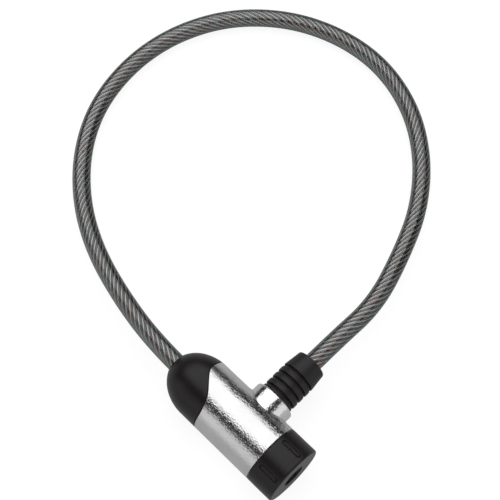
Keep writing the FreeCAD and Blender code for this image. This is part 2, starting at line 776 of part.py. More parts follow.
def make_plug_ferrule():
    body = new_body("plug_ferrule")
    base = plug_shoulder + S["fit_gap"]
    tail_r = S["plug_tail_od"] / 2 + S["run_gap"]
    tail_end = plug_shoulder + S["plug_tail"] + S["fit_gap"]
    bore_r, bore_start = rope_r + S["run_gap"], plug_ferrule_top - S["crimp_length"]
    turn(body, "sleeve", "Y", [
        (base, tail_r), (base, ferrule_r), (plug_ferrule_top, ferrule_r),
        (plug_ferrule_top, bore_r), (bore_start, bore_r), (bore_start, 0),
        (tail_end, 0), (tail_end, tail_r),
    ])
    drill(body, "cross_hole", "XY_Plane", 0, plug_cross_y,
          S["plug_pin_hole"] / 2 + S["run_gap"], -barrel_r, barrel_r)


def make_ferrule_cross_pin():
    reach = ferrule_r - S["fit_gap"]
    cylinder("ferrule_cross_pin", S["plug_pin_hole"] / 2, reach * 2, -reach, 0, plug_cross_y)


def make_plug_boot():
    body = new_body("plug_boot")
    crest, root = S["boot_od"] / 2, S["groove_od"] / 2
    half = S["groove_width"] / 2
    edge = S["boot_edge"]
    corners = [(boot_base, ferrule_r + S["fit_gap"]), (boot_base, crest - edge),
               (boot_base + edge, crest)]
    arcs = {1: (edge, 1)}
    for index in range(SIZES["groove_count"]):
        middle = boot_base + S["groove_first"] + S["groove_pitch"] * index
        arcs[len(corners)] = (edge, 1)
        corners += [(middle - half - edge, crest), (middle - half, crest - edge),
                    (middle - half, root), (middle + half, root)]
        arcs[len(corners)] = (edge, 1)
        corners += [(middle + half, crest - edge), (middle + half + edge, crest)]
    round_end = S["boot_end_round"]
    end_r = S["boot_end_od"] / 2
    arcs[len(corners)] = (round_end, 1)
    corners += [(boot_top - round_end, end_r), (boot_top, end_r - round_end)]
    mouth = cable_r + S["run_gap"] * 3
    inner_top = plug_ferrule_top + S["fit_gap"] * 1.5
    corners += [(boot_top, mouth), (inner_top, mouth), (inner_top, ferrule_r + S["fit_gap"])]
    turn(body, "shell", "Y", corners, arcs)


# ---------------------------------------------------------------- cable

def cable_path(start, finish):
    """Straight runs joined by tangent arcs, each as large as its two runs allow."""
    points = [Vector(*start)] + [Vector(*point) for point in ROUTE[1:-1]] + [Vector(*finish)]
    edges, last = [], points[0]
    radii = []
    for before, corner, after in zip(points, points[1:], points[2:]):
        run_in, run_out = before.distanceToPoint(corner), corner.distanceToPoint(after)
        into, out = (corner - before).normalize(), (after - corner).normalize()
        half_turn = into.getAngle(out) / 2
        tangent = ARC_SHARE * min(run_in, run_out)
        radius = tangent / math.tan(half_turn)
        radii.append(round(radius))
        bisector = (out - into).normalize()
        first, second = corner - into * tangent, corner + out * tangent
        depth = radius / math.cos(half_turn) - radius
        edges.append(Part.LineSegment(last, first).toShape())
        edges.append(Part.Arc(first, corner + bisector * depth, second).toShape())
        last = second
    edges.append(Part.LineSegment(last, points[-1]).toShape())
    return Part.Wire(edges), radii


def swept(path, radius):
    """A round bar along the path, checked by volume."""
    start = path.OrderedEdges[0]
    place, heading = start.valueAt(start.FirstParameter), start.tangentAt(start.FirstParameter)
    ring = Part.Wire([Part.makeCircle(radius, place, heading)])
    bar = path.makePipeShell([ring], True, False)
    expected = math.pi * radius ** 2 * path.Length
    if abs(bar.Volume / expected - 1) > 0.01:
        raise RuntimeError(f"cable volume {bar.Volume:.0f}, expected {expected:.0f}")
    return bar


def make_cable():
    names = ("barrel_od", "cable_od", "rope_od", "key_reach", "head_length", "tail_set_back",
             "fit_gap", "run_gap", "crimp_length")
    size = {alias: float(sheet.get(alias)) for alias in names}
    height = size["barrel_od"] / 2
    start_x = size["key_reach"] - size["head_length"] + size["tail_set_back"] - size["fit_gap"]
    start, finish = (start_x, 0, height), (0, ROUTE[-1][1], height)
    path, radii = cable_path(start, finish)
    print("cable length", round(path.Length, 1), "arc radii", radii)
    grip = size["crimp_length"] - 2 * size["fit_gap"]
    rope_path, _ = cable_path((start_x + grip, 0, height), (0, finish[1] - grip, height))
    jacket = doc.addObject("Part::Feature", "cable_jacket")
    bore = swept(path, size["rope_od"] / 2 + size["run_gap"])
    jacket.Shape = swept(path, size["cable_od"] / 2).cut(bore)
    rope = doc.addObject("Part::Feature", "wire_rope")
    rope.Shape = swept(rope_path, size["rope_od"] / 2)
    pieces.extend([jacket, rope])


# ---------------------------------------------------------------- build and write

for make in (
    make_outer_sleeve, make_nose_dome, make_key_end_cap, make_socket_collar,
    make_lock_body, make_cable_anchor_ferrule, make_anchor_cross_pin, make_body_set_screw,
    make_cylinder_housing, make_cylinder_retaining_pin, make_rotor_clip,
    make_key_rotor, make_drive_cam, make_tumbler_discs, make_disc_spacers, make_sidebar,
    make_latch_plate,
    make_plug_pin, make_plug_ferrule, make_ferrule_cross_pin, make_plug_boot,
    make_cable,
):
    make()
    doc.recompute()

for item in doc.Objects:
    if "Invalid" in item.State or "Error" in item.State:
        raise RuntimeError(f"{item.Name} failed: {item.State}")

for piece in pieces:
    shape = piece.Shape
    if shape.isNull() or not shape.isValid() or shape.Volume <= 0:
        raise RuntimeError(f"{piece.Label} has no valid shape")
    box = shape.BoundBox
    print(f"{piece.Label:24s} solids {len(shape.Solids)} volume {shape.Volume:9.1f} "
          f"x {box.XMin:7.2f} {box.XMax:7.2f} y {box.YMin:7.2f} {box.YMax:7.2f} "
          f"z {box.ZMin:6.2f} {box.ZMax:6.2f}")

os.makedirs("parts", exist_ok=True)
for piece in pieces:
    piece.Shape.exportStep(os.path.join("parts", f"{piece.Label}.step"))
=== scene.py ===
import json
import math

import bpy
import bmesh
from mathutils import Matrix, Vector


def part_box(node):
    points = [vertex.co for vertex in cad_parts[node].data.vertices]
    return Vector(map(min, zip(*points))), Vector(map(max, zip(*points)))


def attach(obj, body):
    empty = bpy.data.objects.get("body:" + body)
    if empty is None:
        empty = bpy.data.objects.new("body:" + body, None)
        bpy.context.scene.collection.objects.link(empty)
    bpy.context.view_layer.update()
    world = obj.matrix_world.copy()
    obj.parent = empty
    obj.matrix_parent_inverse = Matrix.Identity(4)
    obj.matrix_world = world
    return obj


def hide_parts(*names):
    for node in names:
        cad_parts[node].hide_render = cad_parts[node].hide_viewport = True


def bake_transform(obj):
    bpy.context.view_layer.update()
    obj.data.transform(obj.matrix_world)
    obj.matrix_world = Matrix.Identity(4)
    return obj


# Looks of the key cable lock in the row frame: the barrel of the head lies along X, the plug goes
# into its side along -Y, and everything lies on the plane z = 0. Shapes are in mm until piece()
# makes them. The cable's route, the camera, the floor and the lights are in metres.

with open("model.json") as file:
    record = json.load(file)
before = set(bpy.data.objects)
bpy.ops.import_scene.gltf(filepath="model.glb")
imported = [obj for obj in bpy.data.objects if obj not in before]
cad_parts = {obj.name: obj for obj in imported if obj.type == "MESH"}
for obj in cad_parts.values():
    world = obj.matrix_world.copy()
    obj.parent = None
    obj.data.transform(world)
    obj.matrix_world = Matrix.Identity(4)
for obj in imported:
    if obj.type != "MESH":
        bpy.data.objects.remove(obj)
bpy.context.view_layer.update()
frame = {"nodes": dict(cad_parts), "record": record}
MM = 0.001

# ---------------------------------------------------------------- sizes read from the frame, in mm


def box_mm(node):
    """Low and high corners of a CAD node's box, in mm."""
    low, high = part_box(node)
    return low / MM, high / MM


SLEEVE_LOW, SLEEVE_HIGH = box_mm("outer_sleeve")
CAP_LOW, CAP_HIGH = box_mm("key_end_cap")
DOME_LOW, DOME_HIGH = box_mm("nose_dome")
COLLAR_LOW, COLLAR_HIGH = box_mm("socket_collar")
BOOT_LOW, BOOT_HIGH = box_mm("plug_boot")

BARREL_R = (SLEEVE_HIGH.z - SLEEVE_LOW.z) / 2
AXIS_HEIGHT = (SLEEVE_HIGH.z + SLEEVE_LOW.z) / 2
COLLAR_R = (COLLAR_HIGH.x - COLLAR_LOW.x) / 2
BOOT_R = (BOOT_HIGH.z - BOOT_LOW.z) / 2
NOSE_X = DOME_LOW.x
SLEEVE_WALL = 1.2
SEAM_GAP = 0.35
SEAM_NEAR_X = -19.2     # the sleeve's rear edge on the side away from the socket
CABLE_R = 5.0
ROPE_R = 3.0

# The cable's route, as in the CAD model: exit of the dome to mouth of the boot, in metres.
ROUTE = [
    (-0.0421, 0, 0.0165),
    (-0.064, 0, 0.0165),
    (-0.095, 0.005, 0.015),
    (-0.126, 0.014, 0.012),
    (-0.154, 0.029, 0.0085),
    (-0.178, 0.051, 0.006),
    (-0.194, 0.078, 0.005),
    (-0.200, 0.110, 0.005),
    (-0.196, 0.141, 0.005),
    (-0.182, 0.170, 0.005),
    (-0.158, 0.193, 0.005),
    (-0.129, 0.206, 0.005),
    (-0.098, 0.209, 0.005),
    (-0.067, 0.200, 0.005),
    (-0.041, 0.181, 0.006),
    (-0.021, 0.155, 0.0085),
    (-0.009, 0.127, 0.012),
    (0.001, 0.095, 0.015),
    (0, 0.064, 0.0165),
    (0, 0.0421, 0.0165),
]


# ---------------------------------------------------------------- camera

def make_camera():
    """A long lens high over the corner between the key's end and the side away from the plug."""
    target = Vector((-0.0682, 0.0725, 0.0103))
    distance = 0.6704
    azimuth, elevation = math.radians(44.68), math.radians(66.93)
    back = Vector((
        math.sin(azimuth) * math.cos(elevation),
        -math.cos(azimuth) * math.cos(elevation),
        math.sin(elevation),
    ))
    data = bpy.data.cameras.new("camera")
    data.sensor_width = 36.0
    data.lens = 90.72
    data.clip_start = 0.01
    camera = bpy.data.objects.new("camera", data)
    camera.location = target + back * distance
    camera.rotation_mode = "QUATERNION"
    camera.rotation_quaternion = (-back).to_track_quat("-Z", "Y")
    bpy.context.scene.collection.objects.link(camera)
    bpy.context.scene.camera = camera


# ---------------------------------------------------------------- mesh helpers

def piece(name, vertices, faces, slot, stands_for, body=None, edged=True):
    """A smooth mesh piece from vertices in mm, in the look of its slot, in place of CAD nodes.

    It rides on a body when one is given. A piece with edges gets normals weighted by face.
    """
    mesh = bpy.data.meshes.new(name)
    mesh.from_pydata([Vector(vertex) * MM for vertex in vertices], [], faces)
    shell = bmesh.new()
    shell.from_mesh(mesh)
    bmesh.ops.recalc_face_normals(shell, faces=shell.faces)
    shell.to_mesh(mesh)
    shell.free()
    mesh.polygons.foreach_set("use_smooth", [True] * len(mesh.polygons))
    made = bpy.data.objects.new(name, mesh)
    bpy.context.scene.collection.objects.link(made)
    if edged:
        made.modifiers.new("even_shading", "WEIGHTED_NORMAL")
    if body:
        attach(made, body)
    made.data.materials.append(LOOKS[slot])
    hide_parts(*stands_for)
    return made


def rounded(corners):
    """A closed outline of (along, radius, rounding) corners, with each corner turned into an arc."""
    steps, share_of_side = 5, 0.49
    outline = []
    for index, (along, radius, rounding) in enumerate(corners):
        here = Vector((along, radius))
        if rounding <= 0:
            outline.append(here)
            continue
        before = Vector(corners[index - 1][:2])
        after = Vector(corners[(index + 1) % len(corners)][:2])
        into, out = (before - here).normalized(), (after - here).normalized()
        half = into.angle(out) / 2
        shorter = min((before - here).length, (after - here).length)
        reach = min(rounding / math.tan(half), share_of_side * shorter)
        radius_used = reach * math.tan(half)
        centre = here + (into + out).normalized() * (radius_used / math.sin(half))
        first, last = here + into * reach - centre, here + out * reach - centre
        turn = first.angle_signed(last)
        for step in range(steps + 1):
            outline.append(centre + Matrix.Rotation(-turn * step / steps, 2) @ first)
    return outline


def lathe(name, corners, **facts):
    """A closed outline of corners along the plug's axis (Y), turned about it."""
    outline, steps = rounded(corners), 144
    vertices, faces = [], []
    for step in range(steps):
        angle = 2 * math.pi * step / steps
        for along, radius in outline:
            side, up = radius * math.sin(angle), AXIS_HEIGHT + radius * math.cos(angle)
            vertices.append((side, along, up))
    count = len(outline)
    for step in range(steps):
        ahead = (step + 1) % steps
        for index in range(count):
            other = (index + 1) % count
            faces.append((
                step * count + index, step * count + other,
                ahead * count + other, ahead * count + index,
            ))
    return piece(name, vertices, faces, **facts)


def span(first, last):
    """The whole numbers from first to last, either way."""
    step = 1 if last >= first else -1
    return list(range(first, last + step, step))


class Skin:
    """A closed grid round the barrel's axis, where patches of the grid hold openings or dents.

    A place is (x, angle from +Y towards +Z, radius). rows is a function from a column's angle to
    the places down that column, which close on themselves.
    """

    def __init__(self, columns, rows):
        self.columns = columns
        self.grid = []
        for column in range(columns):
            angle = 2 * math.pi * column / columns
            self.grid.append([(x, angle, radius) for x, radius in rows(angle)])
        self.count = len(self.grid[0])
        self.vertices = [self.point(place) for line in self.grid for place in line]
        self.faces = []
        self.patches = []

    @staticmethod
    def point(place):
        x, angle, radius = place
        return (x, radius * math.cos(angle), AXIS_HEIGHT + radius * math.sin(angle))

    def index(self, row, column):
        return (column % self.columns) * self.count + row % self.count

    def loop(self, row_low, row_high, column_low, column_high):
        """Grid positions round a patch, always the same way in x and angle."""
        rows, columns = span(row_low, row_high), span(column_low, column_high)
        loop = [(row_low, column) for column in columns[:-1]]
        loop += [(row, column_high) for row in rows[:-1]]
        loop += [(row_high, column) for column in reversed(columns[1:])]
        loop += [(row, column_low) for row in reversed(rows[1:])]
        return loop

    def patch(self, row_low, row_high, column_low, column_high, centre, rings, closed):
        """Fills a patch with rings: each turns a place of the patch's edge into the ring's place."""
        rows = min(row_low, row_high), max(row_low, row_high)
        self.patches.append((*rows, column_low, column_high))
        loop = self.loop(row_low, row_high, column_low, column_high)
        last = [self.index(row, column) for row, column in loop]
        edge = []
        for row, column in loop:
            x, angle, radius = self.grid[column % self.columns][row % self.count]
            turns = round((angle - centre[1]) / (2 * math.pi))
            edge.append((x - centre[0], angle - centre[1] - turns * 2 * math.pi, radius))
        for ring in rings:
            start = len(self.vertices)
            for place in edge:
                x, angle, radius = ring(place)
                self.vertices.append(self.point((centre[0] + x, centre[1] + angle, radius)))
            here = list(range(start, start + len(edge)))
            self.bridge(last, here)
            last = here
        if closed:
            self.faces.append(last)
        return last

    def bridge(self, first, second):
        """Faces between two loops of as many vertices."""
        for index in range(len(first)):
            other = (index + 1) % len(first)
            self.faces.append((first[index], first[other], second[other], second[index]))

    def in_patch(self, row, column):
        for row_low, row_high, column_low, column_high in self.patches:
            if row_low <= row < row_high:
                if (column - column_low) % self.columns < column_high - column_low:
                    return True
        return False

    def close(self):
        """Fills the grid outside its patches, and gives all vertices and faces."""
        for column in range(self.columns):
            for row in range(self.count):
                if not self.in_patch(row, column):
                    self.faces.append((
                        self.index(row, column), self.index(row + 1, column),
                        self.index(row + 1, column + 1), self.index(row, column + 1),
                    ))
        return self.vertices, self.faces


# ---------------------------------------------------------------- lock head: shells

def seam_x(side):
    """Where the sleeve's rear edge is, at a distance from the barrel's axis towards the socket."""
    far, near = SLEEVE_LOW.x, SEAM_NEAR_X
    start, slope = 10.0, math.radians(42.0)
    far_arc, near_arc = 8.0, 19.0
    far_end = start - far_arc * math.sin(slope)
    far_rise, near_rise = far_arc * (1 - math.cos(slope)), near_arc * (1 - math.cos(slope))
    near_start = far_end - (near - far - far_rise - near_rise) / math.tan(slope)
    near_end = near_start - near_arc * math.sin(slope)
    if side >= start:
        return far
    if side >= far_end:
        return far + far_arc - math.sqrt(far_arc ** 2 - (start - side) ** 2)
    if side >= near_start:
        return far + far_rise + (far_end - side) * math.tan(slope)
    if side >= near_end:
        return near - near_arc + math.sqrt(near_arc ** 2 - (side - near_end) ** 2)
    return near


# Rounding of a shell's outer edge: how far in from the edge, and how far under the surface.
EDGE_ROUND = [(0.0, -0.3), (0.03, -0.16), (0.1, -0.06), (0.2, -0.01), (0.35, 0.0)]

# Lip round the sleeve's opening: how far out from the opening, and how far over the barrel.
OPENING_LIP = [
    (1.9, 0.01), (1.4, 0.05), (1.0, 0.12), (0.7, 0.22), (0.45, 0.32), (0.25, 0.36),
    (0.1, 0.33), (0.02, 0.22), (0.0, 0.08),
]


def make_sleeve():
    """Drawn tube with an S-shaped rear edge, its socket opening flared where the collar stands."""
    inner_r = BARREL_R - SLEEVE_WALL
    front = SLEEVE_HIGH.x
    patch_x, patch_rows, patch_columns = 15.4, 32, 56
    behind, ahead, columns = 12, 3, 144
    opening_gap, flat_ring = 0.2, 2.6
    opening_r = COLLAR_R + opening_gap

    def rows(angle):
        outer_edge = seam_x(BARREL_R * math.cos(angle))
        inner_edge = seam_x(inner_r * math.cos(angle))
        line = [(outer_edge + inset, BARREL_R + drop) for inset, drop in EDGE_ROUND]
        start = outer_edge + EDGE_ROUND[-1][0]
        line += [(start + (-patch_x - start) * step / behind, BARREL_R)
                 for step in range(1, behind)]
        line += [(-patch_x + 2 * patch_x * step / patch_rows, BARREL_R)
                 for step in range(patch_rows + 1)]
        end = front - EDGE_ROUND[-1][0]
        line += [(patch_x + (end - patch_x) * step / ahead, BARREL_R) for step in range(1, ahead)]
        line += [(front - inset, BARREL_R + drop) for inset, drop in reversed(EDGE_ROUND)]
        line += [(front, inner_r)]
        line += [(patch_x - 2 * patch_x * step / patch_rows, inner_r)
                 for step in range(patch_rows + 1)]
        line += [(-patch_x + (inner_edge + patch_x) * step / behind, inner_r)
                 for step in range(1, behind + 1)]
        return line

    skin = Skin(columns, rows)
    outer_low = len(EDGE_ROUND) + behind - 1
    outer_high = outer_low + patch_rows
    inner_high = outer_high + ahead + len(EDGE_ROUND) + 1
    inner_low = inner_high + patch_rows
    half = patch_columns // 2

    def at_opening(offset, rise, base_r):
        def ring(place):
            x, angle, _ = place
            heading = math.atan2(angle * base_r, x)
            reach = opening_r + offset
            return (
                reach * math.cos(heading),
                math.asin(reach * math.sin(heading) / base_r),
                base_r + rise,
            )
        return ring

    def between(share, outer):
        def ring(place):
            x, angle, radius = place
            ring_x, ring_angle, ring_radius = outer(place)
            return (
                x + (ring_x - x) * share,
                angle + (ring_angle - angle) * share,
                radius + (ring_radius - radius) * share,
            )
        return ring

    outermost = at_opening(flat_ring, 0.0, BARREL_R)
    rings = [between(share, outermost) for share in (0.35, 0.7)] + [outermost]
    rings += [at_opening(offset, rise, BARREL_R) for offset, rise in OPENING_LIP]
    rim = skin.patch(outer_low, outer_high, -half, half, (0, 0), rings, False)
    inner_ring = at_opening(0.0, 0.0, inner_r)
    inside = [between(0.5, inner_ring), inner_ring]
    inner_rim = skin.patch(inner_low, inner_high, -half, half, (0, 0), inside, False)
    skin.bridge(rim, inner_rim)
    vertices, faces = skin.close()
    return piece("sleeve", vertices, faces, "sleeve_metal", ["outer_sleeve"], "head")


def dome_radius(x):
    """Outside of the dome: straight, then a shoulder arc, then a tangent arc to the nose."""
    length, shoulder, turn = 19.0, 24.0, math.radians(30.0)
    start_x, nose_r = NOSE_X + length, CABLE_R + 1.2
    bend_x = start_x - shoulder * math.sin(turn)
    bend_r = BARREL_R - shoulder * (1 - math.cos(turn))
    if x >= start_x:
        return BARREL_R
    if x >= bend_x:
        return BARREL_R - shoulder + math.sqrt(shoulder ** 2 - (start_x - x) ** 2)
    run_x, run_r = bend_x - NOSE_X, bend_r - nose_r
    nose_arc = (run_x ** 2 + run_r ** 2) / (2 * (run_r * math.cos(turn) - run_x * math.sin(turn)))
    centre_x = bend_x + nose_arc * math.sin(turn)
    centre_r = bend_r - nose_arc * math.cos(turn)
    return centre_r + math.sqrt(nose_arc ** 2 - (centre_x - x) ** 2)


def make_dome():
    """Moulded nose cover, whose front edge follows the sleeve's at the gap of the seam."""
    spigot_r, hollow_r = 15.15, 10.65
    root_x, tail_x = DOME_HIGH.x, NOSE_X + 6.2
    hole_r = CABLE_R + 0.1
    closing_x, flank, meridian, around = -35.0, 10, 22, 180

    def rows(angle):
        edge = seam_x(BARREL_R * math.cos(angle)) - SEAM_GAP
        line = [(edge, spigot_r)]
        line += [(edge - inset, dome_radius(edge - inset) + drop) for inset, drop in EDGE_ROUND]
        start = edge - EDGE_ROUND[-1][0]
        for step in range(1, flank + 1):
            x = start + (closing_x - start) * step / flank
            line.append((x, dome_radius(x)))
        nose_r = dome_radius(NOSE_X)
        for step in range(1, meridian):
            share = math.sin(math.pi / 2 * step / meridian)
            x = closing_x + (NOSE_X - closing_x) * share
            line.append((x, dome_radius(x)))
        line += [(NOSE_X + 0.12, nose_r + 0.05), (NOSE_X + 0.02, nose_r - 0.1)]
        line += [(NOSE_X, nose_r - 0.3), (NOSE_X, hole_r + 0.4), (NOSE_X + 0.1, hole_r + 0.15)]
        line += [(NOSE_X + 0.35, hole_r), (tail_x, hole_r), (tail_x, hollow_r)]
        line += [(root_x, hollow_r), (root_x, spigot_r)]
        return line

    vertices, faces = Skin(around, rows).close()
    return piece("dome", vertices, faces, "shell_plastic", ["nose_dome"], "head")


# A grip from outside its edge to the top of its bar: how far out from the edge, and how deep.
GRIP_PROFILE = [
    (0.7, 0.0), (0.3, 0.0), (0.12, -0.03), (0.02, -0.12), (-0.05, -0.3), (-0.12, -0.48),
    (-0.22, -0.56), (-0.4, -0.58), (-0.52, -0.54), (-0.6, -0.42), (-0.67, -0.2),
    (-0.78, -0.07), (-0.95, -0.01), (-1.2, 0.0),
]


def make_cap():
    """End cap with six grips: pill-shaped dents, each with a bar left standing in it."""
    back, face = CAP_LOW.x, CAP_HIGH.x
    cavity_r, seat_r, hole_r, face_r = 13.1, 11.1, 6.2, 11.0
    wall_x, step_x = 29.5, 27.1     # front and rear of the seat that the cylinder's end lies in
    front_round, round_steps, lip = 1.0, 6, 0.4
    columns, patch_rows, patch_half = 288, 26, 8
    middle = (back + face) / 2
    reach = 6.6
    grips, grip_phase, grip_length, grip_width = 6, 23, 11.4, 2.9
    grip_half, grip_r = (grip_length - grip_width) / 2, grip_width / 2

    def rows(_):
        line = [(back + inset, BARREL_R + drop) for inset, drop in EDGE_ROUND]
        line += [(middle - reach + 2 * reach * step / patch_rows, BARREL_R)
                 for step in range(patch_rows + 1)]
        for step in range(round_steps + 1):
            turn = math.pi / 2 * step / round_steps
            line.append((
                face - front_round + front_round * math.sin(turn),
                BARREL_R - front_round + front_round * math.cos(turn),
            ))
        line += [(face, BARREL_R - front_round - 0.5), (face, face_r), (face, hole_r + lip + 0.3)]
        line += [(face, hole_r + lip), (face - 0.1, hole_r + 0.15), (face - lip, hole_r)]
        line += [(wall_x + 0.3, hole_r), (wall_x, hole_r), (wall_x, seat_r), (step_x, seat_r)]
        line += [(step_x, cavity_r), (back, cavity_r)]
        return line

    skin = Skin(columns, rows)

    def dent(offset, drop):
        def ring(place):
            x, angle, _ = place
            across = angle * BARREL_R
            spine = max(-grip_half, min(grip_half, x))
            away = Vector((x - spine, across)).normalized() * (grip_r + offset)
            return spine + away.x, away.y / BARREL_R, BARREL_R + drop
        return ring

    rings = [dent(offset, drop) for offset, drop in GRIP_PROFILE]
    low = len(EDGE_ROUND)
    for grip in range(grips):
        centre_angle = math.radians(90 - grip_phase + 360 / grips * grip)
        centre_column = round(centre_angle / (2 * math.pi) * columns)
        centre = (middle, 2 * math.pi * centre_column / columns)
        skin.patch(low, low + patch_rows, centre_column - patch_half, centre_column + patch_half,
                   centre, rings, True)
    vertices, faces = skin.close()
    return piece("end_cap", vertices, faces, "shell_plastic", ["key_end_cap"], "head")


def make_collar():
    """Turned ring, most rounded at the edge that faces the plug."""
    bore, face_round = 4.65, 1.0
    low, high = COLLAR_LOW.y, COLLAR_HIGH.y
    corners = [
        (low, bore, 0.2), (low, COLLAR_R, 0.3), (high, COLLAR_R, face_round), (high, bore, 0.4),
    ]
    return lathe("collar", corners, body="head", slot="collar_chrome",
                 stands_for=["socket_collar"])


# ---------------------------------------------------------------- plug

def make_boot():
    """Moulded boot: four rings, each with a sloping front shoulder, then a tapering end."""
    low, high = BOOT_LOW.y, BOOT_HIGH.y
    cavity_r, cavity_y, mouth_r = 6.6, 42.15, 5.15
    root_r, crest_r, shoulder_r = 7.9, BOOT_R, 8.6
    rings, first, pitch, half, slope = 4, 2.9, 4.35, 0.25, 1.25
    line_depth, line_half, line_set_back = 0.12, 0.1, 0.75
    taper, end_r = 9.0, 8.35
    corners = [(low, cavity_r, 0), (low, crest_r, 0.2)]
    for ring in range(rings):
        middle = low + first + pitch * ring
        line = middle - half - slope - line_set_back
        corners += [
            (line - line_half, crest_r, 0), (line, crest_r - line_depth, 0),
            (line + line_half, crest_r - 0.03, 0),
            (middle - half - slope, crest_r - 0.05, 0.3), (middle - half, shoulder_r, 0.12),
            (middle - half, root_r, 0.08), (middle + half, root_r, 0.08),
            (middle + half, crest_r - 0.02, 0.12),
        ]
    corners += [
        (high - taper, crest_r - 0.1, 3.0), (high, end_r, 0.6), (high, mouth_r, 0.4),
        (cavity_y, mouth_r, 0), (cavity_y, cavity_r, 0),
    ]
    return lathe("boot", corners, body="plug", slot="boot_rubber", stands_for=["plug_boot"])


# ---------------------------------------------------------------- cable

def route_line():
    """Points close together along the smooth curve that the route's points control."""
    curve = bpy.data.curves.new("cable_route", "CURVE")
    curve.dimensions = "3D"
    spline = curve.splines.new("NURBS")
    spline.points.add(len(ROUTE) - 1)
    for point, place in zip(spline.points, ROUTE):
        point.co = (*place, 1)
    spline.order_u = 3
    spline.use_endpoint_u = True
    curve.resolution_u = 40
    holder = bpy.data.objects.new("cable_route", curve)
    bpy.context.scene.collection.objects.link(holder)
    seen = holder.evaluated_get(bpy.context.evaluated_depsgraph_get())
    mesh = bpy.data.meshes.new_from_object(seen)
    line = [vertex.co / MM for vertex in mesh.vertices]
    bpy.data.objects.remove(holder)
    bpy.data.curves.remove(curve)
    bpy.data.meshes.remove(mesh)
    return line


def evenly(line, step):
    """Places along a line at about one step from each other, with a frame that doesn't twist."""
    lengths = [0.0]
    for before, after in zip(line, line[1:]):
        lengths.append(lengths[-1] + (after - before).length)
    count = round(lengths[-1] / step)
    places, segment = [], 0
    for index in range(count + 1):
        target = lengths[-1] * index / count
        while segment < len(line) - 2 and lengths[segment + 1] < target:
            segment += 1
        share = (target - lengths[segment]) / (lengths[segment + 1] - lengths[segment])
        places.append(line[segment].lerp(line[segment + 1], share))
    frames, side = [], Vector((0, 0, 1))
    for index, place in enumerate(places):
        before, after = places[max(index - 1, 0)], places[min(index + 1, count)]
        ahead = (after - before).normalized()
        side = (side - ahead * side.dot(ahead)).normalized()
        frames.append((place, side, ahead.cross(side)))
    return frames, lengths[-1]


def bar(rings, vertices, faces):
    """Adds a closed bar through rings of vertices."""
    start, sides = len(vertices), len(rings[0])
    for ring in rings:
        vertices.extend(ring)
    for index in range(len(rings) - 1):
        here, ahead = start + index * sides, start + (index + 1) * sides
        for side in range(sides):
            other = (side + 1) % sides
            faces.append((here + side, here + other, ahead + other, ahead + side))
    faces.append(tuple(start + side for side in range(sides)))
    faces.append(tuple(start + (len(rings) - 1) * sides + side for side in reversed(range(sides))))


def ring_of(place, side, other, radius, count):
    """A ring of vertices round a place, in the plane of two directions."""
    ring = []
    for index in range(count):
        angle = 2 * math.pi * index / count
        ring.append(place + (side * math.cos(angle) + other * math.sin(angle)) * radius)
    return ring


def make_jacket(line):
    """The jacket, with the points that it follows and its length in metres."""
    step, sides = 2.0, 48
    frames, length = evenly(line, step)
    vertices, faces = [], []
    bar([ring_of(*frame_here, CABLE_R, sides) for frame_here in frames], vertices, faces)
    made = piece("clear_jacket", vertices, faces, "cable_pvc", ["cable_jacket"], edged=False)
    return made, [place * MM for place, _, _ in frames], length * MM


def make_rope(line):
    """Eight strands laid right-handed round a straight core."""
    lay, strands, step, sides = 33.0, 8, 0.8, 12
    strand_r, sunk_in_core = 0.74, 0.15
    centre_r = ROPE_R - strand_r
    core_r = centre_r - strand_r * (1 - sunk_in_core)
    lean = math.atan(2 * math.pi * centre_r / lay)
    frames, length = evenly(line, step)
    turn_per_step = 2 * math.pi * (length / lay) / (len(frames) - 1)
    vertices, faces = [], []
    for strand in range(strands + 1):
        rings = []
        for index, (place, side, other) in enumerate(frames):
            if strand == strands:
                rings.append(ring_of(place, side, other, core_r, sides))
                continue
            angle = turn_per_step * index + 2 * math.pi * strand / strands
            out = side * math.cos(angle) + other * math.sin(angle)
            along = side.cross(other)
            round_rope = along.cross(out)
            tangent = (along * math.cos(lean) + round_rope * math.sin(lean)).normalized()
            binormal = tangent.cross(out)
            rings.append(ring_of(place + out * centre_r, out, binormal, strand_r, sides))
        bar(rings, vertices, faces)
    return piece("rope", vertices, faces, "rope_steel", ["wire_rope"], edged=False)


def make_cable(boot):
    """The cable: its clear jacket, and the rope that shows through it."""
    line = route_line()
    jacket, path, length = make_jacket(line)
    rope = make_rope(line)
    for part in (jacket, rope):
        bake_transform(part)


# ---------------------------------------------------------------- materials

NOISE_RANGE = (0.3, 0.7)    # where nearly all of a noise's values lie


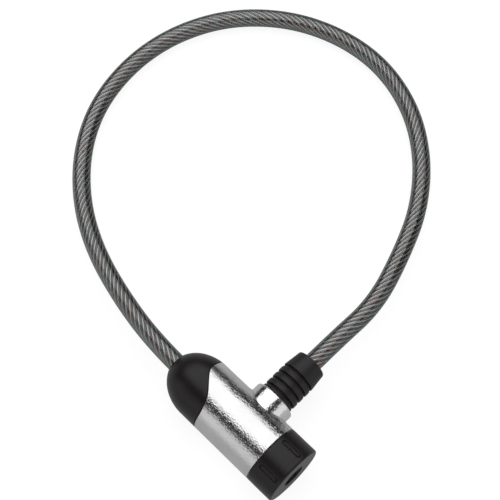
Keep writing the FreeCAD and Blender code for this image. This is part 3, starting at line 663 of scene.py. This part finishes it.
class Look:
    """A principled material whose colour, roughness and surface come from its nodes.

    sockets are values of the shader's own sockets, by their names.
    """

    def __init__(self, name, **sockets):
        self.material = bpy.data.materials.new(name)
        self.material.use_nodes = True
        self.tree = self.material.node_tree
        self.shader = self.tree.nodes["Principled BSDF"]
        for socket, value in sockets.items():
            label = socket.replace("_", " ").title().replace("Ior", "IOR")
            self.shader.inputs[label].default_value = value
        self.coords = self.tree.nodes.new("ShaderNodeTexCoord")
        self.bumps = None

    def link(self, output, socket):
        self.tree.links.new(output, socket)

    def grain(self, scale, detail=2.0, stretch=None):
        """Noise over the surface, with scale features to the metre, as a 0 to 1 output."""
        noise = self.tree.nodes.new("ShaderNodeTexNoise")
        noise.inputs["Scale"].default_value = scale
        noise.inputs["Detail"].default_value = detail
        source = self.coords.outputs["Object"]
        if stretch:
            mapping = self.tree.nodes.new("ShaderNodeMapping")
            mapping.inputs["Scale"].default_value = stretch
            self.link(source, mapping.inputs["Vector"])
            source = mapping.outputs["Vector"]
        self.link(source, noise.inputs["Vector"])
        return noise.outputs["Fac"]

    def between(self, output, low, high, source=NOISE_RANGE):
        """Spreads an output's source range over low to high."""
        ranged = self.tree.nodes.new("ShaderNodeMapRange")
        ranged.inputs["From Min"].default_value = source[0]
        ranged.inputs["From Max"].default_value = source[1]
        ranged.inputs["To Min"].default_value = low
        ranged.inputs["To Max"].default_value = high
        self.link(output, ranged.inputs["Value"])
        return ranged.outputs["Result"]

    def tone(self, output, first, second):
        """Colour that wanders between two tones."""
        ramp = self.tree.nodes.new("ShaderNodeValToRGB")
        for element, place, color in zip(ramp.color_ramp.elements, NOISE_RANGE, (first, second)):
            element.position = place
            element.color = (*color, 1)
        self.link(output, ramp.inputs["Fac"])
        self.link(ramp.outputs["Color"], self.shader.inputs["Base Color"])

    def rough(self, output, low, high):
        """Roughness that wanders between low and high."""
        self.link(self.between(output, low, high), self.shader.inputs["Roughness"])

    def bump(self, output, height_mm):
        """Relief of this height, on top of any relief that the look has already."""
        bump = self.tree.nodes.new("ShaderNodeBump")
        bump.inputs["Distance"].default_value = height_mm * MM
        bump.inputs["Strength"].default_value = 1.0
        self.link(output, bump.inputs["Height"])
        if self.bumps:
            self.link(self.bumps.outputs["Normal"], bump.inputs["Normal"])
        self.link(bump.outputs["Normal"], self.shader.inputs["Normal"])
        self.bumps = bump


def sleeve_metal():
    """Satin plated steel: the plating has a fine orange-peel grain that breaks up reflections."""
    look = Look("sleeve_metal", metallic=1.0)
    look.tone(look.grain(60, 3.0), (0.6, 0.595, 0.6), (0.68, 0.675, 0.68))
    look.rough(look.grain(900, 2.0), 0.12, 0.2)
    look.bump(look.grain(300, 1.0), 0.05)
    look.bump(look.grain(1200, 2.0), 0.17)
    return look.material


def collar_chrome():
    """Plating like the sleeve's, a little brighter."""
    look = Look("collar_chrome", metallic=1.0)
    look.tone(look.grain(90, 2.0), (0.7, 0.7, 0.71), (0.76, 0.76, 0.77))
    look.rough(look.grain(900, 2.0), 0.1, 0.18)
    look.bump(look.grain(1100, 2.0), 0.13)
    return look.material


def shell_plastic():
    """Black moulded plastic with a fine spark-eroded texture."""
    look = Look("shell_plastic", specular_ior_level=0.32)
    look.tone(look.grain(120, 3.0), (0.0058, 0.0036, 0.0044), (0.0088, 0.0062, 0.007))
    look.rough(look.grain(1800, 2.0), 0.32, 0.42)
    look.bump(look.grain(1600, 3.0), 0.012)
    return look.material


def boot_rubber():
    """Black rubber, duller than the plastic."""
    look = Look("boot_rubber", specular_ior_level=0.35)
    look.tone(look.grain(150, 3.0), (0.0105, 0.0085, 0.0092), (0.0155, 0.0125, 0.0133))
    look.rough(look.grain(1200, 2.0), 0.42, 0.56)
    look.bump(look.grain(1500, 3.0), 0.02)
    return look.material


def cable_pvc():
    """Clear, slightly smoky PVC, which is darker the deeper it is."""
    look = Look("cable_pvc", base_color=(1, 1, 1, 1), transmission_weight=1.0, ior=1.5,
                roughness=0.03)
    smoke, density, shadow = (0.35, 0.45, 0.47, 1), 430.0, (0.85, 0.85, 0.85, 1)
    absorb = look.tree.nodes.new("ShaderNodeVolumeAbsorption")
    absorb.inputs["Color"].default_value = smoke
    absorb.inputs["Density"].default_value = density
    output = look.tree.nodes["Material Output"]
    look.link(absorb.outputs["Volume"], output.inputs["Volume"])
    look.bump(look.grain(160, 2.0), 0.02)
    pass_through = look.tree.nodes.new("ShaderNodeBsdfTransparent")
    pass_through.inputs["Color"].default_value = shadow
    path = look.tree.nodes.new("ShaderNodeLightPath")
    mixed = look.tree.nodes.new("ShaderNodeMixShader")
    look.link(path.outputs["Is Shadow Ray"], mixed.inputs["Fac"])
    look.link(look.shader.outputs["BSDF"], mixed.inputs[1])
    look.link(pass_through.outputs["BSDF"], mixed.inputs[2])
    look.link(mixed.outputs["Shader"], output.inputs["Surface"])
    return look.material


def rope_steel():
    """Bright drawn wire, with some strands warmer than others."""
    look = Look("rope_steel", metallic=1.0)
    look.tone(look.grain(250, 2.0), (0.97, 0.74, 0.68), (1.0, 0.91, 0.88))
    look.rough(look.grain(700, 2.0), 0.13, 0.22)
    look.bump(look.grain(600, 1.0), 0.006)
    return look.material


def body_zinc():
    """Die-cast zinc, grey and dull."""
    look = Look("body_zinc", metallic=1.0)
    look.tone(look.grain(200, 3.0), (0.44, 0.45, 0.47), (0.56, 0.57, 0.59))
    look.rough(look.grain(1200, 2.0), 0.42, 0.6)
    look.bump(look.grain(1800, 3.0), 0.02)
    return look.material


def cylinder_brass():
    """Turned brass, with faint rings round the barrel's axis."""
    look = Look("cylinder_brass", metallic=1.0)
    look.tone(look.grain(200, 3.0), (0.68, 0.52, 0.26), (0.8, 0.64, 0.36))
    look.rough(look.grain(900, 2.0), 0.25, 0.4)
    look.bump(look.grain(400, 2.0, stretch=(12, 1, 1)), 0.01)
    return look.material


def hard_steel():
    """Hardened steel, with faint rings round the plug's axis."""
    look = Look("hard_steel", metallic=1.0)
    look.tone(look.grain(200, 3.0), (0.56, 0.56, 0.58), (0.68, 0.68, 0.7))
    look.rough(look.grain(1500, 2.0), 0.18, 0.3)
    look.bump(look.grain(400, 2.0, stretch=(1, 12, 1)), 0.008)
    return look.material


LOOKS = {make.__name__: make() for make in (
    sleeve_metal, collar_chrome, shell_plastic, boot_rubber, cable_pvc, rope_steel,
    body_zinc, cylinder_brass, hard_steel,
)}


def dress_cad_nodes():
    """Gives each CAD node that stays the look of its material slot in the record."""
    slots = {row["node"]: row["material_slot"] for row in frame["record"]["subparts"]}
    for name, node in frame["nodes"].items():
        look = LOOKS[slots[name]]
        if not node.material_slots:
            node.data.materials.append(look)
        for place in node.material_slots:
            place.material = look


# ---------------------------------------------------------------- studio

def make_floor():
    """A lit table: pale where it is looked at, and dimmer in what the object reflects."""
    reflected, seen = 0.36, 0.88
    half_side, below = 6.0, 0.0001
    look = Look("floor_paint", roughness=0.9, emission_color=(1, 1, 1, 1))
    path = look.tree.nodes.new("ShaderNodeLightPath")
    glow = look.between(path.outputs["Is Camera Ray"], reflected, seen, source=(0.0, 1.0))
    look.link(glow, look.shader.inputs["Emission Strength"])
    look.tone(look.grain(20, 2.0), (0.19, 0.19, 0.19), (0.21, 0.21, 0.21))
    mesh = bpy.data.meshes.new("floor")
    corners = [(-1, -1), (1, -1), (1, 1), (-1, 1)]
    mesh.from_pydata([(x * half_side, y * half_side, 0) for x, y in corners], [], [(0, 1, 2, 3)])
    floor = bpy.data.objects.new("floor", mesh)
    floor.location.z = -below
    floor.data.materials.append(look.material)
    bpy.context.scene.collection.objects.link(floor)


def softbox(name, centre, aim, width, height, radiance):
    """A rectangular light at centre that faces aim, as bright as radiance all over, in metres."""
    data = bpy.data.lights.new(name, "AREA")
    data.shape = "RECTANGLE"
    data.size = width
    data.size_y = height
    data.energy = radiance * math.pi * width * height
    light = bpy.data.objects.new(name, data)
    light.location = centre
    light.rotation_mode = "QUATERNION"
    light.rotation_quaternion = (Vector(aim) - Vector(centre)).to_track_quat("-Z", "Y")
    light.visible_camera = False
    bpy.context.scene.collection.objects.link(light)


def make_studio():
    """One large light over the far side, two dimmer walls, and a dark room behind them."""
    softbox("overhead", (-1.7, 1.3, 2.0), (-1.7, 1.3, 0), width=4.4, height=4.0, radiance=1.55)
    softbox("near_wall", (-0.4, -2.4, 0.95), (-0.4, 0, 0.95), width=6.0, height=1.9, radiance=0.8)
    softbox("key_side_wall", (2.4, 0.2, 1.2), (0, 0.2, 1.2), width=5.0, height=2.3, radiance=0.9)
    room, backdrop_seen = (0.03, 0.03, 0.032, 1), (0.9, 0.9, 0.9, 1)
    world = bpy.data.worlds.new("room")
    world.use_nodes = True
    backdrop = world.node_tree.nodes["Background"]
    path = world.node_tree.nodes.new("ShaderNodeLightPath")
    tone = world.node_tree.nodes.new("ShaderNodeMix")
    tone.data_type = "RGBA"
    tone.inputs["A"].default_value = room
    tone.inputs["B"].default_value = backdrop_seen
    world.node_tree.links.new(path.outputs["Is Camera Ray"], tone.inputs["Factor"])
    world.node_tree.links.new(tone.outputs["Result"], backdrop.inputs["Color"])
    bpy.context.scene.world = world
    bpy.context.scene.view_settings.view_transform = "Standard"


# ---------------------------------------------------------------- build

make_camera()
make_cable(make_boot())
make_sleeve()
make_dome()
make_cap()
make_collar()
dress_cad_nodes()
make_floor()
make_studio()
